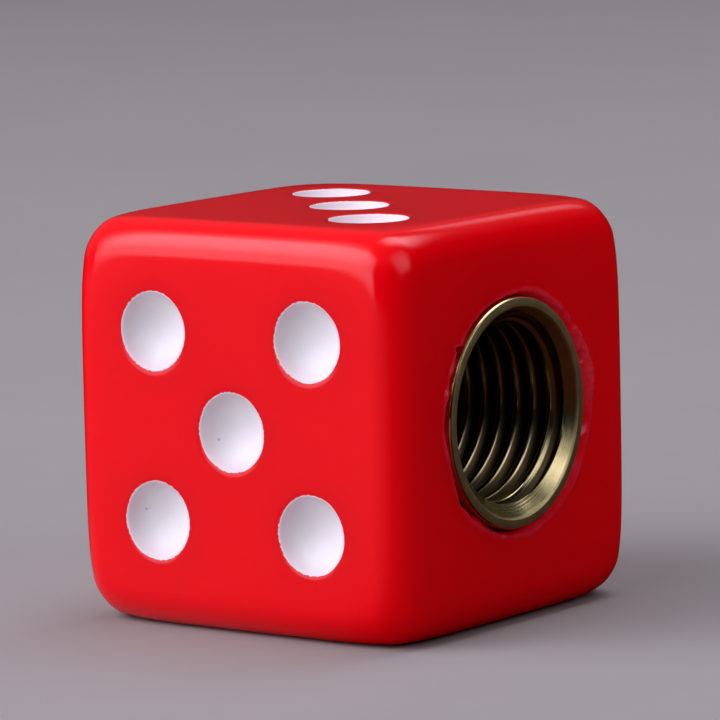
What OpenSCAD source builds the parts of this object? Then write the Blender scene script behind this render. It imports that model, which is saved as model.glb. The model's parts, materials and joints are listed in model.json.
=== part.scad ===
// Die-shaped screw cap: a glossy rounded die with white painted bowl pips and a
// threaded brass insert let into the face where the single pip would be.
// Millimetres. +Z is up and carries the three, -Y the five, +X the insert's mouth.
// The origin is the middle of the bottom face.

/* [Die body] */
// Edge length of the die, face to face
die_edge = 16; // [15:0.5:20]
// Radius of the rounded edges and corners
edge_radius = 1.55; // [1:0.05:2]

/* [Pips] */
// Diameter of a pip where it meets the face
pip_diameter = 3.16; // [2.4:0.02:3.3]
// Depth of the painted bowl below the face
pip_depth = 0.91; // [0.4:0.01:1]
// Thickness of the white paint in a bowl
paint_thickness = 0.08; // [0.05:0.01:0.12]
// Distance of an outer pip from the middle lines of its face
pip_offset = 3.72; // [3.4:0.02:3.9]
// The same distance on the three's face
three_pip_offset = 3.44; // [3.4:0.02:3.9]

/* [Threaded insert] */
// Outside diameter of the insert's smooth collar
insert_diameter = 9.06; // [8.8:0.02:9.2]
// Length of the insert
insert_length = 8.2; // [7.4:0.1:8.6]
// Height of the insert's rim above the face
insert_proud = 0.14; // [0.1:0.02:0.4]
// Sideways shift of the insert's axis from the middle of the face
insert_shift_y = -0.32; // [-0.4:0.02:0.4]
// Upward shift of the insert's axis from the middle of the face
insert_shift_z = 0.32; // [-0.4:0.02:0.4]
// Width of the flat rim around the mouth
rim_width = 0.37; // [0.25:0.01:0.45]
// Depth of the chamfer from the rim to the thread
chamfer_depth = 0.6; // [0.4:0.05:0.7]
// Length of the smooth collar above the knurl
collar_length = 1.2; // [0.8:0.1:1.6]
// Number of knurl teeth around the insert
knurl_teeth = 48; // [36:4:60]

/* [Thread] */
// Thread diameter at the roots of the grooves
thread_major = 7.75; // [7.6:0.01:7.8]
// Thread diameter at the crests
thread_minor = 7; // [6.8:0.01:7.1]
// Distance between neighbouring crests
thread_pitch = 0.794; // [0.75:0.001:0.8]
// Number of thread grooves
thread_grooves = 8; // [5:1:8]

/* [Pocket, adhesive and seal] */
// Gap between the collar and the drilled pocket's wall
bond_gap = 0.12; // [0.08:0.01:0.16]
// How far the adhesive stops below the face
bond_recess = 0.3; // [0.2:0.05:0.6]
// Thickness of the rubber washer at the bottom of the pocket
seal_thickness = 1; // [0.8:0.1:1.4]
// Diameter of the washer's hole, which clears the valve's pin
seal_hole_diameter = 3.2; // [2.4:0.1:4]

/* [Hidden] */
$fn = 96;
insert_radius = insert_diameter / 2;
rim_bevel = 0.08;
knurl_crest_radius = insert_radius - 0.03;
knurl_root_radius = insert_radius - 0.2;
tail_length = 0.7;
tail_radius = knurl_root_radius - 0.05;
pocket_radius = insert_radius + bond_gap;
pocket_depth = insert_length - insert_proud + seal_thickness;
seal_radius = insert_radius - 0.08;
root_flat = thread_pitch / 8;
groove_depth = (thread_major - thread_minor) / 2;
groove_mouth = root_flat + 2 * groove_depth * tan(30);
first_groove = chamfer_depth + 0.3;
recess_depth = pip_depth + paint_thickness;
recess_sphere_radius = (pow(pip_diameter / 2, 2) + pow(recess_depth, 2)) / (2 * recess_depth);

// Each pipped face: name, number of pips, turn from the top, offset of the outer pips
FACES = [
    ["three", 3, [0, 0, 0], three_pip_offset],
    ["four", 4, [180, 0, 0], pip_offset],
    ["five", 5, [90, 0, 0], pip_offset],
    ["two", 2, [-90, 0, 0], pip_offset],
    ["six", 6, [0, -90, 0], pip_offset],
];

function pip_name(face, i) = str(face[0], "_pip_", i);

// Pip centres of a face in units of the pip offset
function pip_layout(count) = concat(
    count % 2 == 1 ? [[0, 0]] : [],
    count >= 2 ? [[-1, 1], [1, -1]] : [],
    count >= 4 ? [[-1, -1], [1, 1]] : [],
    count == 6 ? [[-1, 0], [1, 0]] : []
);

// Half of one thread groove after another, from the mouth inwards
function groove_points(i) =
    let (z = insert_proud - first_groove - i * thread_pitch)
    [
        [thread_minor / 2, z],
        [thread_major / 2, z - (groove_mouth - root_flat) / 2],
        [thread_major / 2, z - (groove_mouth + root_flat) / 2],
        [thread_minor / 2, z - groove_mouth],
    ];

// Puts a part drawn around +Z at the top face onto one of the faces
module on_face(turn) {
    translate([0, 0, die_edge / 2])
        rotate(turn)
            translate([0, 0, die_edge / 2])
                children();
}

module at_pip(face, i) {
    on_face(face[2])
        translate(face[3] * pip_layout(face[1])[i - 1])
            children();
}

module at_insert() {
    translate([0, insert_shift_y, insert_shift_z])
        on_face([0, 90, 0])
            children();
}

module rounded_square() {
    inner = die_edge - 2 * edge_radius;
    square([die_edge, inner], center = true);
    square([inner, die_edge], center = true);
    for (x = [-1, 1], y = [-1, 1])
        translate([x, y] * inner / 2)
            circle(r = edge_radius);
}

module rounded_bar() {
    linear_extrude(height = die_edge, center = true)
        rounded_square();
}

// What a ball-shaped corner leaves off a square one
module corner_cut() {
    difference() {
        cube(2 * edge_radius);
        sphere(r = edge_radius);
    }
}

module rounded_cube() {
    inner = die_edge / 2 - edge_radius;
    difference() {
        intersection() {
            rounded_bar();
            rotate([90, 0, 0])
                rounded_bar();
            rotate([0, 90, 0])
                rounded_bar();
        }
        for (x = [0, 1], y = [0, 1], z = [0, 1])
            mirror([x, 0, 0])
                mirror([0, y, 0])
                    mirror([0, 0, z])
                        translate([inner, inner, inner])
                            corner_cut();
    }
}

// The ball that leaves a pip's recess, drawn at the origin of a face
module recess_ball(skin) {
    translate([0, 0, recess_sphere_radius - recess_depth])
        sphere(r = recess_sphere_radius - skin);
}

module pocket() {
    translate([0, 0, -pocket_depth])
        cylinder(r = pocket_radius, h = pocket_depth + 1);
}

module die_body() {
    color([0.80, 0.01, 0.03])
        difference() {
            translate([0, 0, die_edge / 2])
                rounded_cube();
            for (face = FACES, i = [1:face[1]])
                at_pip(face, i)
                    recess_ball(0);
            at_insert()
                pocket();
        }
}

// A skin of paint that follows the recess and ends flush with the face
module pip(face, i) {
    color([0.93, 0.93, 0.95])
        at_pip(face, i)
            difference() {
                intersection() {
                    recess_ball(0);
                    translate([-pip_diameter, -pip_diameter, -pip_diameter])
                        cube([2 * pip_diameter, 2 * pip_diameter, pip_diameter]);
                }
                recess_ball(paint_thickness);
            }
}

module knurl_section() {
    step = 180 / knurl_teeth;
    polygon([
        for (i = [0:2 * knurl_teeth - 1])
            let (r = i % 2 == 0 ? knurl_crest_radius : knurl_root_radius)
            r * [cos(i * step), sin(i * step)]
    ]);
}

// Outside of the insert: bevelled collar, knurl and plain tail
module insert_outside() {
    bottom = insert_proud - insert_length;
    translate([0, 0, insert_proud - rim_bevel])
        cylinder(r1 = insert_radius, r2 = insert_radius - rim_bevel, h = rim_bevel);
    translate([0, 0, insert_proud - collar_length])
        cylinder(r = insert_radius, h = collar_length - rim_bevel);
    translate([0, 0, bottom + tail_length])
        linear_extrude(height = insert_length - tail_length - collar_length)
            knurl_section();
    translate([0, 0, bottom])
        cylinder(r = tail_radius, h = tail_length);
}

// Inside of the insert: chamfer, crest lands and thread grooves, open at both ends
module insert_bore() {
    mouth_radius = insert_radius - rim_width;
    rotate_extrude()
        polygon(concat(
            [
                [0, insert_proud + 1],
                [mouth_radius, insert_proud + 1],
                [mouth_radius, insert_proud],
                [thread_minor / 2, insert_proud - chamfer_depth],
            ],
            [for (i = [0:thread_grooves - 1]) each groove_points(i)],
            [
                [thread_minor / 2, insert_proud - insert_length - 1],
                [0, insert_proud - insert_length - 1],
            ]
        ));
}

module threaded_insert() {
    color([0.62, 0.52, 0.28])
        at_insert()
            difference() {
                insert_outside();
                insert_bore();
            }
}

// Adhesive that fills the pocket around the insert, drawn back from the face
module bond_sleeve() {
    bottom = insert_proud - insert_length;
    color([0.35, 0.12, 0.08])
        at_insert()
            difference() {
                translate([0, 0, bottom])
                    cylinder(r = pocket_radius, h = -bond_recess - bottom);
                insert_outside();
            }
}

// Rubber washer that the valve stem's end presses on
module seal_washer() {
    color([0.05, 0.05, 0.05])
        at_insert()
            translate([0, 0, -pocket_depth])
                difference() {
                    cylinder(r = seal_radius, h = seal_thickness);
                    translate([0, 0, -1])
                        cylinder(d = seal_hole_diameter, h = seal_thickness + 2);
                }
}

die_body();
threaded_insert();
bond_sleeve();
seal_washer();
for (face = FACES)
    for (i = [1:face[1]])
        pip(face, i);
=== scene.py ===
"""Looks of the die-shaped screw cap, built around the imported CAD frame."""

import json
import math
import random

import bmesh
import bpy
from mathutils import Matrix, Vector
from mathutils.geometry import delaunay_2d_cdt


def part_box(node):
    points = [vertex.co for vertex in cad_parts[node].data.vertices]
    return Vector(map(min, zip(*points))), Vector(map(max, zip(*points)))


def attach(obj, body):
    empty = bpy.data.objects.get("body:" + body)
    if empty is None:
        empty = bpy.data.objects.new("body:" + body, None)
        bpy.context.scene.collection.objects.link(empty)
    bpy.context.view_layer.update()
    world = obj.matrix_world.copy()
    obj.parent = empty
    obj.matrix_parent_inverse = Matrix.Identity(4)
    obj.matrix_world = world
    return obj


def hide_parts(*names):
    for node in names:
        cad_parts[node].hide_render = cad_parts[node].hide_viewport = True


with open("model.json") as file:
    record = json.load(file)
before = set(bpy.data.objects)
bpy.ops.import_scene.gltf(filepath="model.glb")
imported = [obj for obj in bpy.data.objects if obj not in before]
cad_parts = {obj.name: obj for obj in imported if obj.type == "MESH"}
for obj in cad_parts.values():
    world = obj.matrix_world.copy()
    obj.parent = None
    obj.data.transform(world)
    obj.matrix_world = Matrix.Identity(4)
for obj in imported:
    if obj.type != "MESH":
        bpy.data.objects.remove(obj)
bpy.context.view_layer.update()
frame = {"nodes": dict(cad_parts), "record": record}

MM = 0.001  # metres in a millimetre
TAU = math.tau

# Driving sizes in millimetres, read from the frame
BODY_LOW, BODY_HIGH = (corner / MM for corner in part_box("die_body"))
INSERT_LOW, INSERT_HIGH = (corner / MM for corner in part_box("threaded_insert"))
SLEEVE_LOW, SLEEVE_HIGH = (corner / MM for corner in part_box("bond_sleeve"))
SEAL_LOW, SEAL_HIGH = (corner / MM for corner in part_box("seal_washer"))
THREAD = next(m for m in frame["record"]["mounts"] if m["name"] == "stem_thread")
HALF = (BODY_HIGH.z - BODY_LOW.z) / 2
CENTRE = (BODY_LOW + BODY_HIGH) / 2

# Die body, in millimetres
EDGE_ROUND = 1.404  # radius of an edge's rounding half way along it
EDGE_STEPS = 14  # facets around an edge's rounding
FACE_STEPS = 40  # mesh columns along a face
FLAT_HALF = HALF - EDGE_ROUND  # half the flat part of a face
FACE_TICKS = [-FLAT_HALF + 2 * FLAT_HALF * i / FACE_STEPS for i in range(FACE_STEPS + 1)]
CORNER_REACH = 12.85  # distance from the centre at which the corners wear away
CORNER_POWER = 24  # sharpness of that wear

# Pips, in millimetres
PIP_SEGMENTS = 144  # points round a pip
SHOULDER_OUTER = 1.85  # radius at which a face begins to turn down
LIP_RADIUS = 1.60  # radius at which that shoulder turns sharply into the bowl
BOWL_RADIUS = 1.47  # radius of the bowl below the lip
SHOULDER_SLOPE = math.radians(11)  # slope where the shoulder meets the lip
BOWL_SLOPE = math.radians(57)  # slope where the lip meets the bowl
PAINT_EDGE = 1.565  # radius that the paint reaches to
PAINT_SKIN = 0.05  # thickness of the paint
PAINT_LIP = 0.012  # height of the paint's edge above the plastic
SMOOTH_RADIUS = 0.9  # radius inside which the paint's ragged edge has no effect
SHOULDER_STEPS = 8
BOWL_RINGS = (1.3, 1.1, 0.8, 0.5, 0.25)  # radii of the mesh rows down the recess
PAINT_RINGS = (1.54, 1.52, 1.50, 1.48, 1.45, 1.41, 1.35, 1.27, 1.17, 1.05, 0.9, 0.74, 0.57, 0.4, 0.2)

# Insert, in millimetres
INSERT_COLUMNS = 288  # points round the insert
INSERT_RADIUS = (INSERT_HIGH.y - INSERT_LOW.y) / 2
INSERT_LENGTH = INSERT_HIGH.x - INSERT_LOW.x
RIM_X = INSERT_HIGH.x - CENTRE.x
AXIS_Y = (INSERT_HIGH.y + INSERT_LOW.y) / 2 - CENTRE.y
AXIS_Z = (INSERT_HIGH.z + INSERT_LOW.z) / 2 - CENTRE.z
PROUD = RIM_X - HALF  # how far the rim stands above the face
RIM_WIDTH = 0.37
RIM_BEVEL = 0.075
MOUTH_RADIUS = INSERT_RADIUS - RIM_WIDTH
CHAMFER_DEPTH = 0.60
THREAD_PITCH = 25.4 / 32  # 32 turns to the inch
THREAD_CREST = THREAD["dims"]["r_mm"]  # radius at the crests
THREAD_DEPTH = 0.375
CREST_FLAT = 0.04
CREST_ROUND = 0.14  # radius of the bends beside a crest
ROOT_ROUND = 0.08  # radius of the bends beside a root
FLANK = math.radians(60)  # slope of the thread's flanks from the axis
THREAD_START = 67  # mesh columns by which the thread's start is turned
THREAD_END = 6.9  # depth below the rim at which the groove has run out
THREAD_FADE = 0.5  # length over which it runs out
KNURL_TEETH = 48
KNURL_CREST = INSERT_RADIUS - 0.03
KNURL_ROOT = INSERT_RADIUS - 0.20
KNURL_BEVEL = 0.04  # half the length of the slope at each end of the knurl
COLLAR_LENGTH = 1.2
TAIL_LENGTH = 0.7
TAIL_CHAMFER = 0.12
KNURL_END = INSERT_LENGTH - TAIL_LENGTH
TAIL_RADIUS = KNURL_ROOT - 0.05
BOND_GAP = 0.002  # air between the adhesive and what it touches, so that no faces coincide
BOND_WAVE = 0.03  # height of the waves in the adhesive's top
BOND_STRAIGHT = 2.0  # depth below the rim from which the adhesive's outside is even
WASHER_HOLE = 1.6  # radius
WASHER_ROUND = 0.12  # rounding of the washer's edges
WASHER_ARC_STEPS = 4
# Ring pressed into the washer by the stem: radius and depth
WASHER_DENT = ((2.4, 0.0), (2.6, 0.03), (3.0, 0.05), (3.3, 0.04), (3.45, 0.0))

# Pocket mouth, in millimetres
MOUTH_COLUMNS = 480  # points round the mouth
MOUTH_OUTER = 5.95  # radius at which the face around the mouth is flat again
MOUTH_STEPS = 8  # mesh rows down the torn slope
OPEN_SIDE = math.radians(12)  # direction in which the slope is widest
SHADED_SIDE = math.radians(125)  # direction in which the gap beside the rim is deepest
POCKET_RADIUS = (SLEEVE_HIGH.y - SLEEVE_LOW.y) / 2
POCKET_FLOOR = HALF - (SEAL_LOW.x - CENTRE.x)
# Width of the torn lip outside the insert: angle in degrees, width in millimetres
LIP_WIDTHS = (
    (10, 0.72),
    (40, 0.47),
    (62, 0.30),
    (90, 0.16),
    (125, 0.20),
    (160, 0.22),
    (178, 0.30),
    (200, 0.20),
    (222, 0.32),
    (250, 0.24),
    (285, 0.36),
    (335, 0.55),
)
# Height of the lip's ridge: angle in degrees, height in millimetres
LIP_HEIGHTS = (
    (12, 0.12),
    (22, 0.13),
    (60, 0.10),
    (85, 0.05),
    (120, 0.03),
    (150, 0.06),
    (180, 0.045),
    (215, 0.03),
    (262, 0.05),
    (300, 0.035),
    (352, 0.05),
)
# Rounded ridge of the lip: distance outside its crest, share of its height, wear and painted sheen
RIDGE = (
    (0.24, 0.0, 0.0),
    (0.19, 0.07, 0.05),
    (0.15, 0.25, 0.2),
    (0.11, 0.52, 0.5),
    (0.08, 0.80, 0.8),
    (0.04, 0.96, 1.0),
    (0.0, 1.0, 1.0),
)
# Chips round the mouth: angle and half width in degrees, reach in millimetres
MOUTH_CHIPS = (
    (118, 15, 0.06),
    (142, 4, 0.30),
    (177, 8, 0.20),
    (221, 15, 0.22),
    (258, 26, 0.09),
    (20, 4, 0.25),
    (347, 6, 0.14),
)
# Slivers of plastic pushed up against the rim: angle and half width in degrees, height
MOUTH_SLIVERS = ((149, 4.5, 0.13), (165, 3.5, 0.10), (194, 8, 0.09))


def ripple(seed, waves, slowest, fastest):
    """A smooth closed wobble of about -1 to 1, as a function of an angle."""
    draw = random.Random(seed)
    terms = [(draw.randint(slowest, fastest), draw.uniform(0, TAU)) for _ in range(waves)]
    return lambda angle: sum(math.sin(k * angle + s) for k, s in terms) / math.sqrt(waves)


def bump(angle, centre, half_width):
    """1 at the centre angle, 0 beyond the half width, all in degrees, smooth between."""
    away = abs((angle - centre + 180) % 360 - 180) / half_width
    return (1 - away * away) ** 2 if away < 1 else 0.0


def around(table, degrees):
    """A smooth closed curve through a table of angles and values."""
    for (a, low), (b, high) in zip(table, table[1:] + table[:1]):
        span = (b - a) % 360
        if (degrees - a) % 360 < span:
            return low + (high - low) * ease(((degrees - a) % 360) / span)
    return table[0][1]


def ease(value):
    """A smooth step from 0 to 1, held at both ends."""
    value = min(max(value, 0.0), 1.0)
    return value * value * (3 - 2 * value)


class Shell:
    """Collects patches of points and faces in millimetres, and welds them into one mesh."""

    def __init__(self):
        self.points, self.faces, self.wear_and_sheen = [], [], []

    def add(self, point, wear_and_sheen=0.0):
        self.points.append(point)
        self.wear_and_sheen.append(wear_and_sheen)
        return len(self.points) - 1

    def grid(self, rows, closed=False, wear_and_sheen=None):
        """Quads between neighbouring rows of points, joined end to start if closed."""
        index = []
        for i, row in enumerate(rows):
            worn_and_sheen = wear_and_sheen[i] if wear_and_sheen else 0.0
            worn_and_sheen = worn_and_sheen if isinstance(worn_and_sheen, list) else [worn_and_sheen] * len(row)
            index.append([self.add(p, w) for p, w in zip(row, worn_and_sheen)])
        for low, high in zip(index, index[1:]):
            count = len(low)
            for j in range(count if closed else count - 1):
                k = (j + 1) % count
                self.faces.append((low[j], low[k], high[k], high[j]))

    def cap(self, row, middle):
        """A fan from a closed row of points to a middle point."""
        index = [self.add(p) for p in row]
        centre = self.add(middle)
        for j, a in enumerate(index):
            self.faces.append((a, index[(j + 1) % len(index)], centre))

    def build(self, name, place, weld=2e-4, sharp=math.radians(32)):
        """The welded object, with place() turning each point into shared-frame millimetres."""
        mesh = bpy.data.meshes.new(name)
        mesh.from_pydata([place(p) for p in self.points], [], self.faces)
        layer = mesh.attributes.new("wear_and_sheen", "FLOAT", "POINT")
        layer.data.foreach_set("value", self.wear_and_sheen)
        work = bmesh.new()
        work.from_mesh(mesh)
        bmesh.ops.remove_doubles(work, verts=work.verts, dist=weld)
        bmesh.ops.dissolve_degenerate(work, edges=work.edges, dist=weld)
        loose = [v for v in work.verts if not v.link_faces]
        bmesh.ops.delete(work, geom=loose, context="VERTS")
        gaps = [e for e in work.edges if len(e.link_faces) == 1]
        bmesh.ops.holes_fill(work, edges=gaps, sides=4)
        bmesh.ops.recalc_face_normals(work, faces=work.faces)
        bmesh.ops.scale(work, vec=(MM, MM, MM), verts=work.verts)
        open_edges = sum(1 for e in work.edges if len(e.link_faces) != 2)
        if open_edges:
            print(f"{name}: {open_edges} edges are not shared by two faces")
        work.to_mesh(mesh)
        work.free()
        mesh.shade_smooth()
        mesh.set_sharp_from_angle(angle=sharp)
        made = bpy.data.objects.new(name, mesh)
        bpy.context.scene.collection.objects.link(made)
        return made


def soften(point):
    """Wears the corners of the cube away a little more than its edges."""
    reach = Vector(point).length / CORNER_REACH
    return Vector(point) * (1 + reach**CORNER_POWER) ** (-1 / CORNER_POWER) + CENTRE


def on_insert(point):
    """From (depth below the rim, across, up) around the insert's axis to the shared frame."""
    depth, across, up = point
    return Vector((RIM_X - depth, AXIS_Y + across, AXIS_Z + up)) + CENTRE


class Face:
    """One flat face of the cube with its own across and up directions."""

    def __init__(self, normal, across):
        self.normal, self.across = Vector(normal), Vector(across)
        self.up = self.normal.cross(self.across)

    def point(self, u, v, depth=0.0):
        return self.across * u + self.up * v + self.normal * (HALF - depth)

    def middle_of(self, node):
        """How far across and up the middle of a node's box lies from the face's own middle."""
        low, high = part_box(node)
        offset = (low + high) / 2 / MM - CENTRE
        return offset.dot(self.across), offset.dot(self.up)


FACES = {
    "three": Face((0, 0, 1), (1, 0, 0)),
    "four": Face((0, 0, -1), (1, 0, 0)),
    "five": Face((0, -1, 0), (1, 0, 0)),
    "two": Face((0, 1, 0), (1, 0, 0)),
    "six": Face((-1, 0, 0), (0, 1, 0)),
    "insert": Face((1, 0, 0), (0, 1, 0)),
}


def pip_nodes(face_name):
    """The CAD nodes of a face's pips."""
    return sorted(n for n in frame["nodes"] if n.startswith(f"{face_name}_pip_"))


# ---------------------------------------------------------------- pips


def arc_drop(outer, inner, start, end):
    """How far an arc falls between two radii while its slope goes from start to end."""
    size = (outer - inner) / (math.sin(end) - math.sin(start))
    return size * (math.cos(start) - math.cos(end))


def slope_between(outer, inner, start, end, radius):
    """The slope at a radius on that arc."""
    share = (outer - radius) / (outer - inner)
    return math.asin(math.sin(start) + (math.sin(end) - math.sin(start)) * share)


def pip_depth(radius):
    """Depth of the finished surface of a pip below its face at a radius from its middle."""
    if radius >= SHOULDER_OUTER:
        return 0.0
    if radius >= LIP_RADIUS:
        slope = slope_between(SHOULDER_OUTER, LIP_RADIUS, 0, SHOULDER_SLOPE, radius)
        return arc_drop(SHOULDER_OUTER, radius, 0, slope) if slope > 1e-6 else 0.0
    shoulder = arc_drop(SHOULDER_OUTER, LIP_RADIUS, 0, SHOULDER_SLOPE)
    if radius >= BOWL_RADIUS:
        slope = slope_between(LIP_RADIUS, BOWL_RADIUS, SHOULDER_SLOPE, BOWL_SLOPE, radius)
        if slope - SHOULDER_SLOPE < 1e-6:
            return shoulder
        return shoulder + arc_drop(LIP_RADIUS, radius, SHOULDER_SLOPE, slope)
    lip = shoulder + arc_drop(LIP_RADIUS, BOWL_RADIUS, SHOULDER_SLOPE, BOWL_SLOPE)
    ball = BOWL_RADIUS / math.sin(BOWL_SLOPE)
    return lip + math.sqrt(ball**2 - radius**2) - ball * math.cos(BOWL_SLOPE)


def recess_depth(radius):
    """Depth of the plastic under the paint."""
    return pip_depth(radius) + PAINT_SKIN


def pip_ring(face, middle, radius, depth, edge=None):
    """A ring of points round a pip; edge adds a wobble to the radius at each angle."""
    row = []
    for j in range(PIP_SEGMENTS):
        angle = TAU * j / PIP_SEGMENTS
        r = radius + (edge(angle) if edge else 0.0)
        d = depth(r) if callable(depth) else depth
        row.append(face.point(middle[0] + r * math.cos(angle), middle[1] + r * math.sin(angle), d))
    return row


def paint_edge_wobble(node):
    """The ragged outline of one pip's paint."""
    seed = "edge of " + node
    slow, fast = ripple(seed, 5, 2, 9), ripple(seed + " teeth", 9, 24, 60)
    patch = ripple(seed + " patch", 3, 1, 4)
    return lambda a: 0.008 * slow(a) + 0.014 * fast(a) * (0.7 + 0.5 * patch(a))


def ragged_share(radius):
    """How much of the paint's ragged outline a row at this radius takes: 1 at the paint's edge."""
    return ease((radius - SMOOTH_RADIUS) / (PAINT_EDGE - SMOOTH_RADIUS))


def body_pip(shell, face, node):
    """The shoulder and the recess under the paint of one pip, as part of the body."""
    middle = face.middle_of(node)
    wobble = paint_edge_wobble(node)
    rows = [pip_ring(face, middle, SHOULDER_OUTER, 0.0)]
    for i in range(1, SHOULDER_STEPS + 1):
        r = SHOULDER_OUTER + (PAINT_EDGE - SHOULDER_OUTER) * i / SHOULDER_STEPS
        keep = ease((r - SHOULDER_OUTER) / (PAINT_EDGE - SHOULDER_OUTER))
        rows.append(pip_ring(face, middle, r, pip_depth, lambda a, s=keep: s * wobble(a)))
    for r in (PAINT_EDGE - 0.02, BOWL_RADIUS, *BOWL_RINGS):
        keep = ragged_share(r)
        rows.append(pip_ring(face, middle, r, recess_depth, lambda a, s=keep: s * wobble(a)))
    shell.grid(rows, closed=True)
    shell.cap(rows[-1], face.point(*middle, recess_depth(0)))
    return rows[0]


def pip_paint(face, node):
    """The white paint of one pip: a bowl with a rounded, slightly ragged edge."""
    middle = face.middle_of(node)
    wobble = paint_edge_wobble(node)
    lump = ripple("lumps of " + node, 6, 2, 7)
    shell = Shell()
    under = PAINT_SKIN - 0.003  # the back of the paint, a hair clear of the plastic

    def ring(radius, sink, keep):
        def depth(r):
            return pip_depth(r) + sink

        return pip_ring(face, middle, radius, depth, lambda a: keep * (wobble(a) + 0.004 * lump(a)))

    back = (BOWL_RADIUS, *BOWL_RINGS)[::-1]
    rows = [ring(r, under, ragged_share(r)) for r in back]
    rounded_edge = (
        (-0.022, under),
        (-0.004, 0.012),
        (0.004, -0.002),
        (0.0, -PAINT_LIP * 0.8),
        (-0.014, -PAINT_LIP),
    )
    rows += [ring(PAINT_EDGE + out, sink, 1) for out, sink in rounded_edge]
    for r in PAINT_RINGS:
        rows.append(ring(r, -PAINT_LIP * ease((r - 1.2) / 0.35), ragged_share(r)))
    thin = [0.0] * len(back) + [1.0] * len(rounded_edge)
    thin += [ease((r - 1.0) / 0.5) for r in PAINT_RINGS]
    shell.grid(rows, closed=True, wear_and_sheen=thin)
    shell.cap(rows[0], face.point(*middle, pip_depth(0) + under))
    shell.cap(rows[-1], face.point(*middle, pip_depth(0)))
    return shell.build("paint_" + node, soften, sharp=math.radians(60))


# ---------------------------------------------------------------- pocket mouth


def mouth_rows(face):
    """Rings from the flat face over the torn lip round the insert and down to the pocket's floor."""
    coarse, fine = ripple("mouth coarse", 6, 3, 11), ripple("mouth fine", 10, 14, 40)
    grain = ripple("mouth grain", 12, 30, 90)
    lump = [ripple(f"mouth lump {i}", 7, 6, 34) for i in range(MOUTH_STEPS + 2)]
    columns = []
    for j in range(MOUTH_COLUMNS):
        angle = TAU * j / MOUTH_COLUMNS
        degrees = math.degrees(angle)
        open_side = max(0.0, math.cos(angle - OPEN_SIDE))
        shaded_side = max(0.0, math.cos(angle - SHADED_SIDE))
        chip = sum(size * bump(degrees, at, half) for at, half, size in MOUTH_CHIPS)
        sliver = max(h * bump(degrees, at, half) for at, half, h in MOUTH_SLIVERS)
        inner = INSERT_RADIUS + 0.012 + chip * (1 + 0.25 * fine(angle)) + 0.010 * (1 + grain(angle))
        crease = INSERT_RADIUS + around(LIP_WIDTHS, degrees)
        crease += 0.035 * coarse(angle) + 0.022 * fine(angle)
        crease = max(crease, inner + 0.10)
        burr = around(LIP_HEIGHTS, degrees) * (1 + 0.30 * coarse(angle + 1) + 0.45 * fine(angle + 2))
        burr = min(max(0.008, burr + 0.2 * sliver), PROUD - 0.01)
        torn_and_sheen = min(1.0, 0.15 + burr / 0.12)
        sunk = 0.10 + 0.05 * open_side + 0.22 * shaded_side + 1.1 * chip + 0.02 * coarse(angle + 3)
        sunk -= 1.3 * sliver
        column = [(MOUTH_OUTER, 0.0, 0.0)]
        column += [(crease + out, -burr * rise, worn_and_sheen * torn_and_sheen) for out, rise, worn_and_sheen in RIDGE]
        for i in range(1, MOUTH_STEPS + 1):
            share = i / MOUTH_STEPS
            rough = 0.020 * lump[i](angle) * math.sin(math.pi * min(share, 0.85))
            # The third value spreads frosting down the whole torn slope: partly real wear, partly
            # painted pink sheen.
            column.append(
                (
                    crease + (inner - crease) * share,
                    -burr * (1 - share**1.8) + sunk * share**1.5 + rough,
                    torn_and_sheen * (max(0.0, 1.0 - 0.9 * share) + 0.15),
                )
            )
        last = column[-1][1]
        column.append((inner + 0.015, last + 0.06, 0.5))
        column.append((inner * 0.6 + POCKET_RADIUS * 0.4 + 0.01 * lump[-1](angle), last + 0.18, 0.3))
        column.append((POCKET_RADIUS, max(last + 0.35, 0.75), 0.0))
        column.append((POCKET_RADIUS, 1.6, 0.0))
        column.append((POCKET_RADIUS, POCKET_FLOOR, 0.0))
        column.append((POCKET_RADIUS * 0.5, POCKET_FLOOR, 0.0))
        columns.append(column)
    rows, wear_and_sheen = [], []
    for i in range(len(columns[0])):
        row = []
        for j, column in enumerate(columns):
            angle = TAU * j / MOUTH_COLUMNS
            r, depth, _ = column[i]
            row.append(face.point(AXIS_Y + r * math.cos(angle), AXIS_Z + r * math.sin(angle), depth))
        rows.append(row)
        wear_and_sheen.append([column[i][2] for column in columns])
    return rows, wear_and_sheen


def body_mouth(shell, face):
    """The torn mouth and the pocket, as part of the body."""
    rows, wear_and_sheen = mouth_rows(face)
    shell.grid(rows, closed=True, wear_and_sheen=wear_and_sheen)
    shell.cap(rows[-1], face.point(AXIS_Y, AXIS_Z, POCKET_FLOOR))
    return rows[0]


# ---------------------------------------------------------------- body


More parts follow.
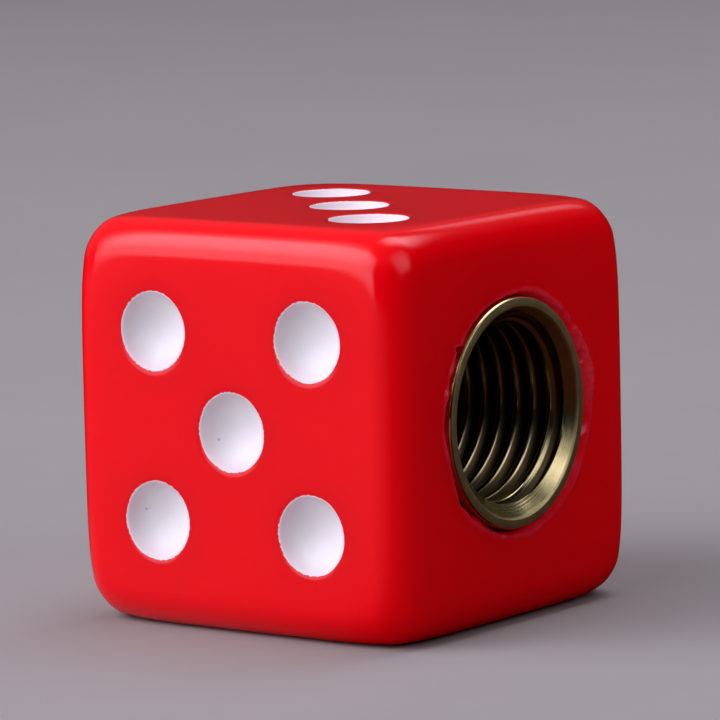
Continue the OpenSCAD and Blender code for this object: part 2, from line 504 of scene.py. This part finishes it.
def flat_face(shell, face, loops):
    """The flat middle of a face, with a hole for each loop of points."""
    half = FLAT_HALF
    border = [(t, -half) for t in FACE_TICKS[:-1]] + [(half, t) for t in FACE_TICKS[:-1]]
    border += [(-t, half) for t in FACE_TICKS[:-1]] + [(-half, -t) for t in FACE_TICKS[:-1]]
    outlines, circles = [border], []
    for loop in loops:
        flat = [(p.dot(face.across), p.dot(face.up)) for p in loop]
        u, v = (sum(c[i] for c in flat) / len(flat) for i in (0, 1))
        outlines.append(flat)
        circles.append((u, v, math.hypot(flat[0][0] - u, flat[0][1] - v)))
    points, edges, owner = [], [], []
    for number, outline in enumerate(outlines):
        first = len(points)
        points += [Vector(p) for p in outline]
        edges += [(first + i, first + (i + 1) % len(outline)) for i in range(len(outline))]
        owner += [number] * len(outline)
    for u in FACE_TICKS[1:-1]:
        for v in FACE_TICKS[1:-1]:
            if all(math.hypot(u - c[0], v - c[1]) > c[2] + 0.15 for c in circles):
                points.append(Vector((u, v)))
    made, _, triangles, sources, *_ = delaunay_2d_cdt(points, edges, [], 0, 1e-7)
    index = [shell.add(face.point(p.x, p.y)) for p in made]
    outline_of = [owner[s[0]] if s and s[0] < len(owner) else 0 for s in sources]
    # A triangle that fills a hole has all its corners on that hole's outline, and is left out
    for triangle in triangles:
        loops_met = {outline_of[i] for i in triangle}
        if len(loops_met) > 1 or loops_met == {0}:
            shell.faces.append(tuple(index[i] for i in triangle))


def quarter(step):
    """The angle round an edge at one of its mesh steps."""
    return math.pi / 2 * step / EDGE_STEPS


def edge_strips(shell):
    """The rounded edges between neighbouring faces."""
    axes = [Vector((1, 0, 0)), Vector((0, 1, 0)), Vector((0, 0, 1))]
    for along in range(3):
        one, other = axes[(along + 1) % 3], axes[(along + 2) % 3]
        for s in (-1, 1):
            for t in (-1, 1):
                rows = []
                for step in range(EDGE_STEPS + 1):
                    a = FLAT_HALF + EDGE_ROUND * math.cos(quarter(step))
                    b = FLAT_HALF + EDGE_ROUND * math.sin(quarter(step))
                    sideways, upward = one * (s * a), other * (t * b)
                    rows.append([axes[along] * x + sideways + upward for x in FACE_TICKS])
                shell.grid(rows)


def corner_patches(shell):
    """A ball-shaped patch at each corner, with the edges' spacing along its sides."""
    for signs in ((x, y, z) for x in (-1, 1) for y in (-1, 1) for z in (-1, 1)):
        index = {}
        for i in range(EDGE_STEPS + 1):
            for j in range(EDGE_STEPS + 1 - i):
                k = EDGE_STEPS - i - j
                way = Vector((math.sin(quarter(i)), math.sin(quarter(j)), math.sin(quarter(k))))
                spot = Vector((FLAT_HALF,) * 3) + way.normalized() * EDGE_ROUND
                index[i, j] = shell.add(Vector(c * s for c, s in zip(spot, signs)))
        for i in range(EDGE_STEPS):
            for j in range(EDGE_STEPS - i):
                shell.faces.append((index[i, j], index[i + 1, j], index[i, j + 1]))
                if i + j < EDGE_STEPS - 1:
                    shell.faces.append((index[i + 1, j], index[i + 1, j + 1], index[i, j + 1]))


def die_body():
    """The red cube, from its faces, pips and pocket to its edges and corners."""
    shell = Shell()
    for name, face in FACES.items():
        loops = [body_pip(shell, face, node) for node in pip_nodes(name)]
        if name == "insert":
            loops.append(body_mouth(shell, face))
        flat_face(shell, face, loops)
    edge_strips(shell)
    corner_patches(shell)
    return shell.build("die_shell", soften, sharp=math.radians(48))


# ---------------------------------------------------------------- insert and what is behind it


def knurl_radius(angle):
    """Radius of the knurled outside at an angle, with pointed teeth."""
    share = (angle / TAU * KNURL_TEETH) % 1
    return KNURL_ROOT + (KNURL_CREST - KNURL_ROOT) * (1 - abs(2 * share - 1))


def thread_cut(offset):
    """Depth of the groove at an axial offset from the middle of a crest, with rounded bends."""
    away = abs(offset) - CREST_FLAT / 2
    if away <= 0:
        return 0.0
    turn = CREST_ROUND * math.sin(FLANK)
    if away <= turn:
        return CREST_ROUND - math.sqrt(CREST_ROUND**2 - away**2)
    left = THREAD_PITCH / 2 - abs(offset)
    foot = ROOT_ROUND * math.sin(FLANK)
    straight = (THREAD_PITCH - CREST_FLAT) / 2 - turn - foot
    drop = CREST_ROUND * (1 - math.cos(FLANK))
    if left >= foot:
        return min(drop + (away - turn) * math.tan(FLANK), THREAD_DEPTH)
    curve = math.sqrt(ROOT_ROUND**2 - left**2) - ROOT_ROUND * math.cos(FLANK)
    return min(drop + straight * math.tan(FLANK) + curve, THREAD_DEPTH)


def bore_radius(depth, offset):
    """Radius of the bore at a depth below the rim and an axial offset from the nearest crest."""
    cut = thread_cut(offset) * ease((THREAD_END - depth) / THREAD_FADE)
    cone = MOUTH_RADIUS - (MOUTH_RADIUS - THREAD_CREST) * min(depth / CHAMFER_DEPTH, 1.0)
    return max(cone, THREAD_CREST + cut)


def ring_at(depth, radius):
    """A closed row round the insert's axis, from two numbers or functions of the angle."""
    row = []
    for j in range(INSERT_COLUMNS):
        angle = TAU * j / INSERT_COLUMNS
        d = depth(angle) if callable(depth) else depth
        r = radius(angle) if callable(radius) else radius
        row.append(Vector((d, r * math.cos(angle), r * math.sin(angle))))
    return row


def thread_steps():
    """Offsets of the mesh rows within one pitch, closest where the profile bends."""
    bend = [CREST_FLAT / 2 + CREST_ROUND * math.sin(FLANK * i / 6) for i in range(7)]
    foot = [THREAD_PITCH / 2 - ROOT_ROUND * math.sin(FLANK * i / 4) for i in range(4, -1, -1)]
    side = [0.0, *bend, (bend[-1] + foot[0]) / 2, *foot]
    return side + [THREAD_PITCH - s for s in reversed(side[1:-1])]


def helical_bore(shell):
    """The right-hand thread, as rows that follow the helix, cut off at the insert's two ends."""
    steps = thread_steps()
    turns = math.ceil(INSERT_LENGTH / THREAD_PITCH) + 2
    starts = [n * THREAD_PITCH + s for n in range(turns) for s in steps]
    index = []
    for start in starts:
        row = []
        for j in range(INSERT_COLUMNS):
            share = j / INSERT_COLUMNS
            depth = min(max(start - THREAD_PITCH * share, 0.0), INSERT_LENGTH)
            offset = (start + THREAD_PITCH / 2) % THREAD_PITCH - THREAD_PITCH / 2
            r = bore_radius(depth, offset)
            angle = TAU * (j + THREAD_START) / INSERT_COLUMNS
            row.append(shell.add(Vector((depth, r * math.cos(angle), r * math.sin(angle)))))
        index.append(row)
    for k in range(len(starts) - 1):
        for j in range(INSERT_COLUMNS - 1):
            shell.faces.append((index[k][j], index[k][j + 1], index[k + 1][j + 1], index[k + 1][j]))
        over, under = (index[max(k + m - len(steps), 0)][0] for m in (0, 1))
        last = INSERT_COLUMNS - 1
        shell.faces.append((index[k][last], over, under, index[k + 1][last]))


def brass_insert():
    """The insert: threaded bore, rim, smooth collar, knurl and narrow tail."""
    shell = Shell()
    helical_bore(shell)
    rows = [
        ring_at(0, MOUTH_RADIUS),
        ring_at(0, MOUTH_RADIUS + 0.03),
        ring_at(0, INSERT_RADIUS - RIM_BEVEL - 0.02),
        ring_at(0.012, INSERT_RADIUS - RIM_BEVEL + 0.02),
        ring_at(RIM_BEVEL - 0.015, INSERT_RADIUS - 0.012),
        ring_at(RIM_BEVEL + 0.02, INSERT_RADIUS),
        ring_at(COLLAR_LENGTH - KNURL_BEVEL, INSERT_RADIUS),
        ring_at(COLLAR_LENGTH + KNURL_BEVEL, knurl_radius),
        ring_at(KNURL_END - KNURL_BEVEL, knurl_radius),
        ring_at(KNURL_END + KNURL_BEVEL, TAIL_RADIUS),
        ring_at(INSERT_LENGTH - TAIL_CHAMFER, TAIL_RADIUS),
        ring_at(INSERT_LENGTH, TAIL_RADIUS - TAIL_CHAMFER),
        ring_at(INSERT_LENGTH, THREAD_CREST),
    ]
    shell.grid(rows, closed=True)
    return shell.build("brass_insert", on_insert, weld=1.5e-3, sharp=math.radians(28))


def bond_sleeve():
    """Adhesive round the insert with an uneven, dished top."""
    wave = ripple("bond top", 7, 3, 16)
    top_depth = RIM_X - (SLEEVE_HIGH.x - CENTRE.x)
    end_depth = RIM_X - (SLEEVE_LOW.x - CENTRE.x)
    outer, inner = POCKET_RADIUS - BOND_GAP, INSERT_RADIUS + BOND_GAP

    def top(sink):
        return lambda angle: top_depth + sink + BOND_WAVE * wave(angle)

    def toothed(angle):
        return knurl_radius(angle) + BOND_GAP

    rows = [
        ring_at(end_depth, outer),
        ring_at(BOND_STRAIGHT, outer),
        ring_at(top(0.06), outer),
        ring_at(top(0.11), outer - 0.03),
        ring_at(top(0.13), (outer + inner) / 2),
        ring_at(top(0.10), inner + 0.02),
        ring_at(top(0.07), inner),
        ring_at(COLLAR_LENGTH - KNURL_BEVEL + BOND_GAP, inner),
        ring_at(COLLAR_LENGTH + KNURL_BEVEL + BOND_GAP, toothed),
        ring_at(KNURL_END - KNURL_BEVEL - BOND_GAP, toothed),
        ring_at(KNURL_END + KNURL_BEVEL - BOND_GAP, TAIL_RADIUS + BOND_GAP),
        ring_at(end_depth, TAIL_RADIUS + BOND_GAP),
        ring_at(end_depth, outer),
    ]
    shell = Shell()
    shell.grid(rows, closed=True)
    return shell.build("bond_fill", on_insert, weld=5e-4)


def seal_washer():
    """Rubber washer with rounded edges and a shallow ring pressed in by the stem."""
    front = RIM_X - (SEAL_HIGH.x - CENTRE.x)
    back = RIM_X - (SEAL_LOW.x - CENTRE.x)
    outer = (SEAL_HIGH.y - SEAL_LOW.y) / 2 - WASHER_ROUND
    hole = WASHER_HOLE + WASHER_ROUND

    def bend(depth, radius, start):
        turns = [math.radians(start - 90 * i / WASHER_ARC_STEPS) for i in range(WASHER_ARC_STEPS + 1)]
        return [
            (depth - WASHER_ROUND * math.sin(t), radius + WASHER_ROUND * math.cos(t)) for t in turns
        ]

    profile = bend(front + WASHER_ROUND, hole, 180)
    profile += [(front + dent, r) for r, dent in WASHER_DENT]
    profile += bend(front + WASHER_ROUND, outer, 90)
    profile += bend(back - WASHER_ROUND, outer, 0)
    profile += bend(back - WASHER_ROUND, hole, -90)
    shell = Shell()
    rows = [ring_at(d, r) for d, r in profile]
    shell.grid(rows + rows[:1], closed=True)
    return shell.build("rubber_washer", on_insert, weld=5e-4)


# ---------------------------------------------------------------- materials

# Colours, as linear red, green and blue
RED, DEEP_RED = (0.97, 0.0, 0.006), (0.93, 0.0, 0.005)
# The torn red is the frosting of torn plastic with a painted pink sheen in it.
TORN_AND_SHEEN_RED, DUSTY_RED = (0.98, 0.035, 0.075), (0.9, 0.25, 0.25)
WHITE, DULL_WHITE = (0.86, 0.86, 0.87), (0.82, 0.82, 0.84)
THIN_WHITE, PITTED_WHITE = (0.86, 0.66, 0.72), (0.28, 0.22, 0.24)
BRASS, TARNISHED_BRASS = (0.66, 0.59, 0.29), (0.50, 0.44, 0.21)
# Painted shade: the bore colour darkens the brass with depth, and the groove colour darkens the
# thread's grooves.
BORE_SHADE_BRASS, GROOVE_SHADE_BRASS = (0.20, 0.15, 0.10), (0.05, 0.034, 0.016)
AMBER, PALE_AMBER = (0.10, 0.02, 0.014), (0.16, 0.045, 0.03)
RUBBER, WORN_RUBBER = (0.018, 0.018, 0.019), (0.035, 0.034, 0.033)
FLOOR, DULL_FLOOR = (0.36, 0.355, 0.343), (0.354, 0.349, 0.337)
# Painted reflections for the reflection-only card: dark surroundings, with a painted pool of light.
PAINTED_DARK_REFLECTION, PAINTED_LIT_REFLECTION = (0.036, 0.012, 0.005), (0.30, 0.30, 0.30)


class Nodes:
    """Short calls for building one node material."""

    def __init__(self, name):
        self.material = bpy.data.materials.new(name)
        self.material.use_nodes = True
        self.tree = self.material.node_tree
        self.tree.nodes.clear()
        output = self.make("ShaderNodeOutputMaterial")
        self.shader = self.make("ShaderNodeBsdfPrincipled")
        self.link(self.shader.outputs["BSDF"], output.inputs["Surface"])

    def make(self, kind, **values):
        made = self.tree.nodes.new(kind)
        for key, value in values.items():
            setattr(made, key, value)
        return made

    def link(self, source, target):
        self.tree.links.new(source, target)

    def feed(self, made, **inputs):
        """Sets or links a node's inputs by name, with underscores for spaces."""
        for key, value in inputs.items():
            socket = made.inputs[key.replace("_", " ")]
            if isinstance(value, bpy.types.NodeSocket):
                self.link(value, socket)
            else:
                socket.default_value = value
        return made

    def wear_and_sheen(self):
        """The mesh's own measure of torn or thin places, from 0 to 1; on the torn lip it also marks a
        painted pink sheen.
        """
        return self.make("ShaderNodeAttribute", attribute_name="wear_and_sheen").outputs["Fac"]

    def place(self):
        """The point in the shared frame, in metres."""
        return self.make("ShaderNodeTexCoord").outputs["Object"]

    def noise(self, scale, detail=4.0, roughness=0.55, vector=None):
        """Noise with this many waves to the metre."""
        made = self.make("ShaderNodeTexNoise")
        self.feed(made, Vector=vector or self.place(), Scale=scale, Detail=detail)
        made.inputs["Roughness"].default_value = roughness
        return made.outputs["Fac"]

    def dots(self, scale, size):
        """1 inside small round specks scattered at random, 0 elsewhere."""
        cells = self.make("ShaderNodeTexVoronoi")
        self.feed(cells, Vector=self.place(), Scale=scale, Randomness=1.0)
        return self.span(cells.outputs["Distance"], size, size * 0.4, 0.0, 1.0)

    def span(self, value, low, high, to_low, to_high):
        """Maps low to high onto to_low to to_high, held at the ends."""
        made = self.make("ShaderNodeMapRange")
        self.feed(made, Value=value)
        for key, number in zip(
            ("From Min", "From Max", "To Min", "To Max"), (low, high, to_low, to_high)
        ):
            made.inputs[key].default_value = number
        return made.outputs["Result"]

    def math(self, operation, a, b=0.0):
        """One sum; a and b are numbers or a node's output."""
        made = self.make("ShaderNodeMath", operation=operation)
        for socket, value in zip(made.inputs, (a, b)):
            if isinstance(value, bpy.types.NodeSocket):
                self.link(value, socket)
            else:
                socket.default_value = value
        return made.outputs[0]

    def mix(self, share, first, second):
        """A blend of two colours, each a node's output or linear red, green and blue."""
        made = self.make("ShaderNodeMix", data_type="RGBA")
        colours = [s for s in made.inputs if s.type == "RGBA"]
        factor = next(s for s in made.inputs if s.type == "VALUE")
        self.link(share, factor)
        for socket, value in zip(colours, (first, second)):
            if isinstance(value, bpy.types.NodeSocket):
                self.link(value, socket)
            else:
                socket.default_value = (*value, 1.0)
        return next(s for s in made.outputs if s.type == "RGBA")

    def relief(self, height, distance, strength=1.0, under=None):
        """A bump of this many metres, on top of another one if given."""
        made = self.make("ShaderNodeBump")
        self.feed(made, Height=height, Distance=distance, Strength=strength)
        if under is not None:
            self.link(under, made.inputs["Normal"])
        return made.outputs["Normal"]

    def finish(self, **inputs):
        self.feed(self.shader, **inputs)
        return self.material


def red_plastic():
    """Glossy red plastic, a little translucent, frosted where it is torn with a painted pink sheen
    mixed into that frosting, and with some dust.
    """
    n = Nodes("red_gloss_plastic")
    tone = n.span(n.noise(90, 2), 0.3, 0.7, 0.0, 1.0)
    red = n.mix(tone, RED, DEEP_RED)
    wear_and_sheen = n.wear_and_sheen()
    grain = n.span(n.noise(3800, 5, 0.65), 0.35, 0.65, 0.35, 1.0)
    torn_and_sheen = n.math("MULTIPLY", wear_and_sheen, grain)
    # Frosted colour where the plastic is torn, partly real frosting and partly painted sheen.
    red = n.mix(n.math("MULTIPLY", torn_and_sheen, 0.9), red, TORN_AND_SHEEN_RED)
    dust = n.math("MULTIPLY", n.dots(420, 0.045), n.span(n.noise(250, 1), 0.52, 0.58, 0.0, 1.0))
    red = n.mix(n.math("MULTIPLY", dust, 0.5), red, DUSTY_RED)
    smear = n.span(n.noise(260, 5, 0.6), 0.4, 0.7, 0.085, 0.13)
    rough = n.math("ADD", smear, n.math("MULTIPLY", torn_and_sheen, 0.22))
    wave = n.relief(n.noise(140, 1), 0.00002, 0.5)
    tear = n.relief(n.math("MULTIPLY", n.noise(5200, 4), wear_and_sheen), 0.00004, 0.6, wave)
    speck = n.relief(dust, 0.00001, 0.6, tear)
    n.shader.inputs["Specular IOR Level"].default_value = 0.35
    n.shader.inputs["Subsurface Weight"].default_value = 0.4
    n.shader.inputs["Subsurface Radius"].default_value = (1.0, 0.1, 0.1)
    n.shader.inputs["Subsurface Scale"].default_value = 0.003
    return n.finish(Base_Color=red, Roughness=rough, Normal=speck)


def white_paint():
    """Satin white paint that lets the red through at its edge, with a few pits."""
    n = Nodes("white_pip_paint")
    tone = n.span(n.noise(700, 3), 0.35, 0.7, 0.0, 1.0)
    white = n.mix(tone, WHITE, DULL_WHITE)
    thin = n.math("MULTIPLY", n.wear_and_sheen(), n.span(n.noise(900, 3), 0.3, 0.7, 0.25, 0.7))
    white = n.mix(thin, white, THIN_WHITE)
    pits = n.math("MULTIPLY", n.dots(1100, 0.10), n.span(n.noise(500, 1), 0.58, 0.64, 0.0, 1.0))
    white = n.mix(n.math("MULTIPLY", pits, 0.8), white, PITTED_WHITE)
    skin = n.relief(n.noise(2600, 3), 0.00001, 0.35)
    pitted = n.relief(n.math("SUBTRACT", 1.0, pits), 0.00003, 0.6, skin)
    rough = n.span(n.noise(1500, 3), 0.3, 0.7, 0.34, 0.46)
    n.shader.inputs["Specular IOR Level"].default_value = 0.3
    return n.finish(Base_Color=white, Roughness=rough, Normal=pitted)


def turned_brass():
    """Brass with fine turning marks and tarnish, with painted shade darkening it down the bore and in
    the thread's grooves.
    """
    n = Nodes("turned_brass")
    parts = n.make("ShaderNodeSeparateXYZ")
    n.link(n.place(), parts.inputs[0])
    across = n.math("SUBTRACT", parts.outputs["Y"], (AXIS_Y + CENTRE.y) * MM)
    up = n.math("SUBTRACT", parts.outputs["Z"], (AXIS_Z + CENTRE.z) * MM)
    squares = n.math("ADD", n.math("MULTIPLY", across, across), n.math("MULTIPLY", up, up))
    radius = n.math("SQRT", squares)

    def below_rim(start, end, at_start, at_end):
        """A value that changes between two depths below the rim, in millimetres."""
        return n.span(parts.outputs["X"], (RIM_X - start) * MM, (RIM_X - end) * MM, at_start, at_end)

    rings = n.make("ShaderNodeCombineXYZ")
    n.link(parts.outputs["X"], rings.inputs[0])
    n.link(radius, rings.inputs[1])
    n.link(n.math("MULTIPLY", n.math("ARCTAN2", up, across), 0.00006), rings.inputs[2])
    turning = n.noise(16000, 3, 0.6, rings.outputs[0])
    tarnish = n.span(n.noise(900, 5, 0.65), 0.36, 0.66, 0.0, 1.0)
    brass = n.mix(tarnish, BRASS, TARNISHED_BRASS)
    # Painted shade: the brass darkens deeper down the bore.
    bore_shade = n.span(parts.outputs["X"], (HALF - 0.6) * MM, (HALF - 5.0) * MM, 0.0, 0.5)
    brass = n.mix(bore_shade, brass, BORE_SHADE_BRASS)
    # Painted shade in the thread's grooves darkens the brass there; it is held off the first crest,
    # which stays bright.
    bright_first_crest = below_rim(1.45, 1.25, 0.0, 0.09 * MM)
    below_crest = n.math("SUBTRACT", n.math("SUBTRACT", radius, bright_first_crest), THREAD_CREST * MM)
    sunk = n.span(below_crest, 0.05 * MM, 0.10 * MM, 0.0, 1.0)
    shaded_groove = n.math("MULTIPLY", sunk, below_rim(0.42, 0.56, 0.0, 0.9))
    brass = n.mix(shaded_groove, brass, GROOVE_SHADE_BRASS)
    tooled = n.relief(turning, 0.00002, 0.45)
    scuffed = n.relief(n.noise(4200, 4, 0.7), 0.000012, 0.3, tooled)
    matt_rim = below_rim(0.02, 0.10, 0.52, 0.20)
    bore_polish = below_rim(0.3, 0.9, 0.0, 0.11)
    edge_polish = n.span(radius, (INSERT_RADIUS - 0.06) * MM, (INSERT_RADIUS - 0.04) * MM, 0.0, 0.34)
    rough = n.math("SUBTRACT", n.math("SUBTRACT", matt_rim, bore_polish), edge_polish)
    rough = n.math("ADD", rough, n.math("MULTIPLY", n.span(turning, 0.3, 0.7, 0.0, 1.0), 0.06))
    rough = n.math("ADD", rough, n.math("MULTIPLY", shaded_groove, 0.25))
    n.shader.inputs["Metallic"].default_value = 1.0
    return n.finish(Base_Color=brass, Roughness=rough, Normal=scuffed)


def cured_adhesive():
    n = Nodes("cured_adhesive")
    tone = n.span(n.noise(1200, 3), 0.35, 0.65, 0.0, 1.0)
    amber = n.mix(tone, AMBER, PALE_AMBER)
    skin = n.relief(n.noise(2400, 3), 0.00002, 0.4)
    rough = n.span(n.noise(1800, 2), 0.3, 0.7, 0.15, 0.3)
    return n.finish(Base_Color=amber, Roughness=rough, Normal=skin)


def black_rubber():
    n = Nodes("black_rubber")
    tone = n.span(n.noise(1500, 4), 0.35, 0.65, 0.0, 1.0)
    black = n.mix(tone, RUBBER, WORN_RUBBER)
    skin = n.relief(n.noise(6000, 4), 0.00002, 0.5)
    rough = n.span(n.noise(2500, 2), 0.3, 0.7, 0.62, 0.78)
    return n.finish(Base_Color=black, Roughness=rough, Normal=skin)


def pale_floor():
    n = Nodes("pale_floor")
    tone = n.span(n.noise(300, 3), 0.3, 0.7, 0.0, 1.0)
    pale = n.mix(tone, FLOOR, DULL_FLOOR)
    skin = n.relief(n.noise(900, 3), 0.00003, 0.3)
    rough = n.span(n.noise(60, 2), 0.3, 0.7, 0.7, 0.8)
    return n.finish(Base_Color=pale, Roughness=rough, Normal=skin)


def dress(made, material, slot, *nodes):
    """Gives a piece its material and its body, and hides the CAD nodes it stands for; slot is not
    used.
    """
    made.data.materials.clear()
    made.data.materials.append(material)
    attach(made, "root")
    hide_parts(*nodes)


# ---------------------------------------------------------------- stage

LIGHT_DISTANCE = 0.6  # metres
LIGHT_TINT = (1.0, 0.93, 1.07)
# Soft lights: name, azimuth, elevation, width and height in degrees, brightness, faded share
LAMPS = (
    ("window", -27, 29, 68, 70, 1.93, 0.20),
    ("key", -45, 43, 60, 56, 1.68, 0.40),
    ("overhead", 168, 67, 40, 60, 3.2, 0.40),
    ("back_strip", -164, 31, 24, 14, 0.48, 0.45),
    ("side", 86, 38, 52, 60, 1.23, 0.42),
)
SKY_COLOUR = (0.96, 0.96, 1.0, 1.0)
SKY_BRIGHT_WAY = (-72, 62)  # azimuth and elevation of the sky's brightest part
SKY_FADE = 0.15  # cosine of the angle from there at which the sky is darkest
SKY_DARK, SKY_BRIGHT = 0.006, 0.27
FLOOR_REACH = 2.0  # metres
CARD_REACH = 1.8
CARD_LIFT = 0.00005  # a hair above the floor
CARD_LIT_WAY = (-30, 0)  # direction in which the card's painted light is palest
CARD_FADE = 0.35  # cosine of the angle from there at which it is darkest
VIEW_AZIMUTH, VIEW_ELEVATION, VIEW_ROLL = 36.42, 7.84, -1.29  # degrees
VIEW_DISTANCE, VIEW_ACROSS, VIEW_UP = 13.416, 0.0143, 0.1133  # in edges of the die
VIEW_LENS = 271.1  # millimetres, on the 36 mm sensor


def compass(azimuth, elevation):
    """The direction to a point round the object: azimuth 0 is -Y and 90 is +X, in degrees."""
    a, e = math.radians(azimuth), math.radians(elevation)
    return Vector((math.sin(a) * math.cos(e), -math.cos(a) * math.cos(e), math.sin(e)))


def soft_light(name, azimuth, elevation, across, tall, radiance, feather):
    """A softbox that spans so many degrees; feather is the share of each side that fades out."""
    lamp = bpy.data.lights.new(name, "AREA")
    lamp.shape = "RECTANGLE"
    lamp.size = 2 * LIGHT_DISTANCE * math.tan(math.radians(across / 2))
    lamp.size_y = 2 * LIGHT_DISTANCE * math.tan(math.radians(tall / 2))
    lamp.energy = radiance * 4 * lamp.size * lamp.size_y
    lamp.color = LIGHT_TINT
    lamp.use_nodes = True
    tree = lamp.node_tree
    emission = next(n for n in tree.nodes if n.type == "EMISSION")
    spot = tree.nodes.new("ShaderNodeNewGeometry")
    parts = tree.nodes.new("ShaderNodeSeparateXYZ")
    tree.links.new(spot.outputs["Parametric"], parts.inputs[0])
    fades = []
    for axis in (0, 1):
        middle = tree.nodes.new("ShaderNodeMath")
        middle.operation = "PINGPONG"
        middle.inputs[1].default_value = 0.5
        tree.links.new(parts.outputs[axis], middle.inputs[0])
        fade = tree.nodes.new("ShaderNodeMapRange")
        fade.interpolation_type = "SMOOTHSTEP"
        fade.inputs["From Max"].default_value = feather
        tree.links.new(middle.outputs[0], fade.inputs["Value"])
        fades.append(fade.outputs["Result"])
    both = tree.nodes.new("ShaderNodeMath")
    both.operation = "MULTIPLY"
    for socket, fade in zip(both.inputs, fades):
        tree.links.new(fade, socket)
    tree.links.new(both.outputs[0], emission.inputs["Strength"])
    made = bpy.data.objects.new(name, lamp)
    way = compass(azimuth, elevation)
    made.location = CENTRE * MM + way * LIGHT_DISTANCE
    made.rotation_euler = way.to_track_quat("Z", "Y").to_euler()
    bpy.context.scene.collection.objects.link(made)


def sheet(name, reach, height, material):
    """A level square of the stage."""
    corners = [(-reach, -reach), (reach, -reach), (reach, reach), (-reach, reach)]
    mesh = bpy.data.meshes.new(name)
    mesh.from_pydata([(x, y, height) for x, y in corners], [], [(0, 1, 2, 3)])
    mesh.materials.append(material)
    made = bpy.data.objects.new(name, mesh)
    bpy.context.scene.collection.objects.link(made)
    return made


def painted_reflection_card():
    """A sheet over the floor that is seen only in reflections: a painted dark reflection, with a
    painted pool of light palest below the window.
    """
    n = Nodes("painted_reflection_card")
    outward = n.make("ShaderNodeVectorMath", operation="NORMALIZE")
    n.link(n.place(), outward.inputs[0])
    toward_lit = n.make("ShaderNodeVectorMath", operation="DOT_PRODUCT")
    n.link(outward.outputs["Vector"], toward_lit.inputs[0])
    toward_lit.inputs[1].default_value = compass(*CARD_LIT_WAY)
    tone = n.span(toward_lit.outputs["Value"], CARD_FADE, 1.0, 0.0, 1.0)
    painted_reflection = n.mix(tone, PAINTED_DARK_REFLECTION, PAINTED_LIT_REFLECTION)
    n.shader.inputs["Roughness"].default_value = 0.9
    n.shader.inputs["Specular IOR Level"].default_value = 0.0
    card = sheet("painted_reflection_card", CARD_REACH, CARD_LIFT, n.finish(Base_Color=painted_reflection))
    card.visible_camera = card.visible_diffuse = card.visible_shadow = False


def sky():
    """A faint glow, brightest toward one side."""
    world = bpy.data.worlds.new("studio")
    world.use_nodes = True
    tree = world.node_tree
    tree.nodes["Background"].inputs["Color"].default_value = SKY_COLOUR
    nearness = tree.nodes.new("ShaderNodeVectorMath")
    nearness.operation = "DOT_PRODUCT"
    nearness.inputs[1].default_value = compass(*SKY_BRIGHT_WAY)
    tree.links.new(tree.nodes.new("ShaderNodeTexCoord").outputs["Generated"], nearness.inputs[0])
    glow = tree.nodes.new("ShaderNodeMapRange")
    glow.inputs["From Min"].default_value = SKY_FADE
    glow.inputs["To Min"].default_value = SKY_DARK
    glow.inputs["To Max"].default_value = SKY_BRIGHT
    tree.links.new(nearness.outputs["Value"], glow.inputs["Value"])
    tree.links.new(glow.outputs["Result"], tree.nodes["Background"].inputs["Strength"])
    bpy.context.scene.world = world


def studio():
    """The floor, the sky, the soft lights and the sheet of painted reflections."""
    floor = sheet("floor", FLOOR_REACH, 0.0, pale_floor())
    sky()
    for lamp in LAMPS:
        soft_light(*lamp)
    painted_reflection_card()
    bpy.context.scene.view_settings.view_transform = "Standard"


def camera():
    """The photograph's view: a long lens, a little to the right and above, turned slightly."""
    edge = 2 * HALF * MM
    back = compass(VIEW_AZIMUTH, VIEW_ELEVATION)
    right = Vector((-back.y, back.x, 0)).normalized()
    up = back.cross(right)
    roll = math.radians(VIEW_ROLL)
    side = right * math.cos(roll) + up * math.sin(roll)
    top = up * math.cos(roll) - right * math.sin(roll)
    data = bpy.data.cameras.new("camera")
    data.lens = VIEW_LENS
    data.sensor_width = 36.0
    data.clip_start, data.clip_end = 0.01, 10.0
    made = bpy.data.objects.new("camera", data)
    spot = CENTRE * MM + back * (VIEW_DISTANCE * edge)
    spot += side * (VIEW_ACROSS * edge)
    spot += top * (VIEW_UP * edge)
    turn = Matrix((side, top, back)).transposed().to_4x4()
    made.matrix_world = Matrix.Translation(spot) @ turn
    bpy.context.scene.collection.objects.link(made)
    bpy.context.scene.camera = made


# ---------------------------------------------------------------- assembly

dress(die_body(), red_plastic(), "body", "die_body")
dress(brass_insert(), turned_brass(), "insert", "threaded_insert")
dress(bond_sleeve(), cured_adhesive(), "bond", "bond_sleeve")
dress(seal_washer(), black_rubber(), "seal", "seal_washer")
paint = white_paint()
for face_name, face in FACES.items():
    for node in pip_nodes(face_name):
        dress(pip_paint(face, node), paint, "pip_paint", node)

studio()
camera()
